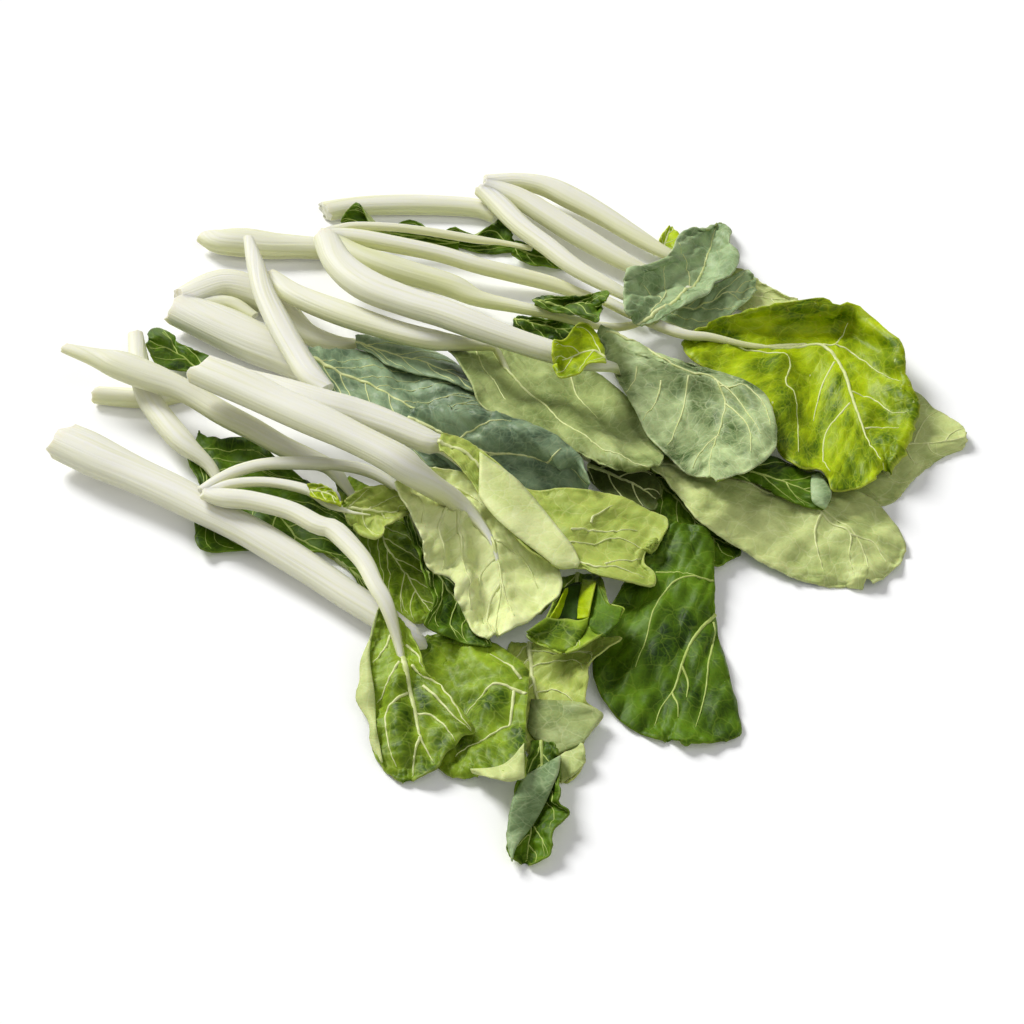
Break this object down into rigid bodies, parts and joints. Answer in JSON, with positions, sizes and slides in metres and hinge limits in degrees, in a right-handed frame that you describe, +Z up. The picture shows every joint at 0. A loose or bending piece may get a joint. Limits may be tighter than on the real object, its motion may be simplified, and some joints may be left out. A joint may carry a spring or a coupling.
{
  "type": "turnip greens",
  "caption": "Loose heap of long-stemmed leafy greens lying flat, with thick pale stalks and thin waved green blades.",
  "frame": {"origin": "middle of the heap's box on the surface it lies on", "axes": "+Z up, +X to the right as seen from the front, +Y to the back of the heap, where the cut bases of the far stalks lie"},
  "size_m": [0.4222, 0.4732, 0.0452],
  "materials": {
    "stalk": "smooth, moist, faintly ribbed",
    "leaf": "waxy dark green with pale veins",
    "bright_leaf": "waxy bright green with pale veins",
    "pale_leaf": "dull pale green underside with raised veins"
  },
  "bodies": {
    "root": {"arch_leaf": "leaf", "back_stalk": "stalk", "big_leaf": "pale_leaf", "big_leaf_lobe": "bright_leaf", "big_stalk": "stalk", "bright_leaf": "bright_leaf", "bright_stalk": "stalk", "broad_head_stalks": "stalk", "brown_end_stalk": "stalk", "centre_leaf": "pale_leaf", "centre_stalk": "stalk", "crinkled_leaf": "leaf", "curled_leaf": "bright_leaf", "dark_front_leaf": "leaf", "dark_tip_leaf": "leaf", "deep_leaf": "leaf", "far_leaf": "pale_leaf", "flat_leaf": "leaf", "flat_leaf_stalk": "stalk", "folded_leaf": "pale_leaf", "folded_stalk": "stalk", "front_leaf": "bright_leaf", "front_stalk": "stalk", "gap_leaf": "pale_leaf", "little_leaf": "bright_leaf", "long_head_stalks": "stalk", "long_wing": "leaf", "lower_wing": "leaf", "mid_dark_leaf": "leaf", "pale_right_leaf": "pale_leaf", "pale_tip_leaf": "pale_leaf", "pointed_leaf": "bright_leaf", "pointed_stalk": "stalk", "rear_leaf": "leaf", "rolled_leaf": "leaf", "shaded_leaf": "pale_leaf", "shaded_stalk": "stalk", "small_head_stalks": "stalk", "small_tip": "bright_leaf", "straight_stalk": "stalk", "stub_stalk": "stalk", "top_head_stalks": "stalk", "tucked_leaf": "leaf", "under_front_stalk": "stalk", "under_right_stalk": "stalk", "upper_dark_leaf": "leaf", "upper_wing": "leaf", "upturned_leaf": "leaf", "veined_dark_leaf": "leaf", "yellow_leaf": "bright_leaf", "yellow_scrap": "bright_leaf", "young_leaf": "bright_leaf"}
  },
  "joints": []
}
